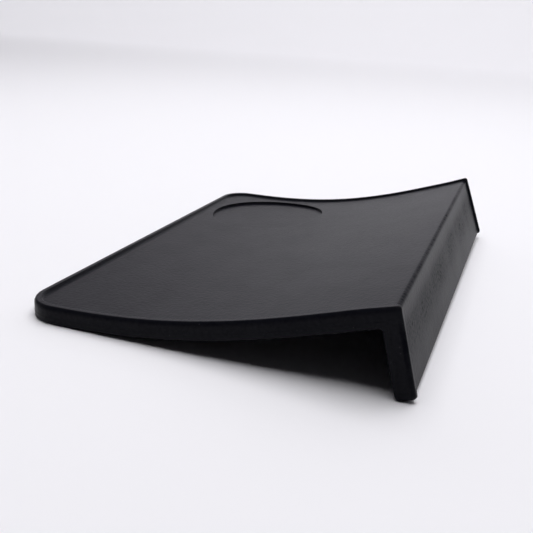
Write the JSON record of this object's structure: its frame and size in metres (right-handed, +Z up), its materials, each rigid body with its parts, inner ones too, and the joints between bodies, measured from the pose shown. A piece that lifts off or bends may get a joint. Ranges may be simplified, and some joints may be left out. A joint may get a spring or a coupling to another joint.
{
  "type": "tamping mat",
  "caption": "Flexible rubber counter mat with a raised rim, a shallow round tamper seat and a folded lip that hangs over the worktop's edge.",
  "frame": {"origin": "middle of the mat's box, on the surface it stands on", "axes": "+X from the back edge to the lip, +Y along the fold, +Z up"},
  "size_m": [0.1488, 0.2, 0.0321],
  "materials": {
    "silicone_black": "matte, finely textured"
  },
  "bodies": {
    "back_strip": {"back_strip": "silicone_black"},
    "seat_back_strip": {"seat_back_strip": "silicone_black"},
    "seat_middle_strip": {"seat_middle_strip": "silicone_black"},
    "seat_front_strip": {"seat_front_strip": "silicone_black"},
    "middle_strip": {"middle_strip": "silicone_black"},
    "rising_strip": {"rising_strip": "silicone_black"},
    "front_strip": {"front_strip": "silicone_black"},
    "counter_lip": {"counter_lip": "silicone_black"}
  },
  "joints": [
    {"name": "seat_back_flex", "type": "hinge", "parent": "back_strip", "child": "seat_back_strip", "pos_m": [-0.05644, 0, 0.003], "axis": [0, 1, 0], "range_deg": [-8.38, 2.13], "stiffness_Nm_per_rad": 0.478, "springref_deg": 2.13},
    {"name": "seat_middle_flex", "type": "hinge", "parent": "seat_back_strip", "child": "seat_middle_strip", "pos_m": [-0.03845, 0, 0.00367], "axis": [0, 1, 0], "range_deg": [-12.34, 3.14], "stiffness_Nm_per_rad": 0.478, "springref_deg": 3.14},
    {"name": "seat_front_flex", "type": "hinge", "parent": "seat_middle_strip", "child": "seat_front_strip", "pos_m": [-0.02053, 0, 0.00532], "axis": [0, 1, 0], "range_deg": [-14.89, 3.79], "stiffness_Nm_per_rad": 0.478, "springref_deg": 3.78},
    {"name": "sheet_flex", "type": "hinge", "parent": "seat_front_strip", "child": "middle_strip", "pos_m": [-0.00275, 0, 0.00815], "axis": [0, 1, 0], "range_deg": [-15, 3.81], "stiffness_Nm_per_rad": 0.478, "springref_deg": 3.81},
    {"name": "rising_flex", "type": "hinge", "parent": "middle_strip", "child": "rising_strip", "pos_m": [0.0148, 0, 0.01216], "axis": [0, 1, 0], "range_deg": [-12.66, 3.22], "stiffness_Nm_per_rad": 0.478, "springref_deg": 3.22},
    {"name": "front_flex", "type": "hinge", "parent": "rising_strip", "child": "front_strip", "pos_m": [0.03209, 0, 0.01714], "axis": [0, 1, 0], "range_deg": [-8.88, 2.26], "stiffness_Nm_per_rad": 0.371, "springref_deg": 2.26},
    {"name": "lip_flex", "type": "hinge", "parent": "front_strip", "child": "counter_lip", "pos_m": [0.0587, 0, 0.02596], "axis": [0, 1, 0], "range_deg": [-20, 10], "stiffness_Nm_per_rad": 1.2}
  ],
  "couplings": [
    {"joint": "seat_back_flex", "follows": "sheet_flex", "ratio": 0.55839},
    {"joint": "seat_middle_flex", "follows": "sheet_flex", "ratio": 0.8228},
    {"joint": "seat_front_flex", "follows": "sheet_flex", "ratio": 0.99295},
    {"joint": "rising_flex", "follows": "sheet_flex", "ratio": 0.84395},
    {"joint": "front_flex", "follows": "sheet_flex", "ratio": 0.59212}
  ]
}
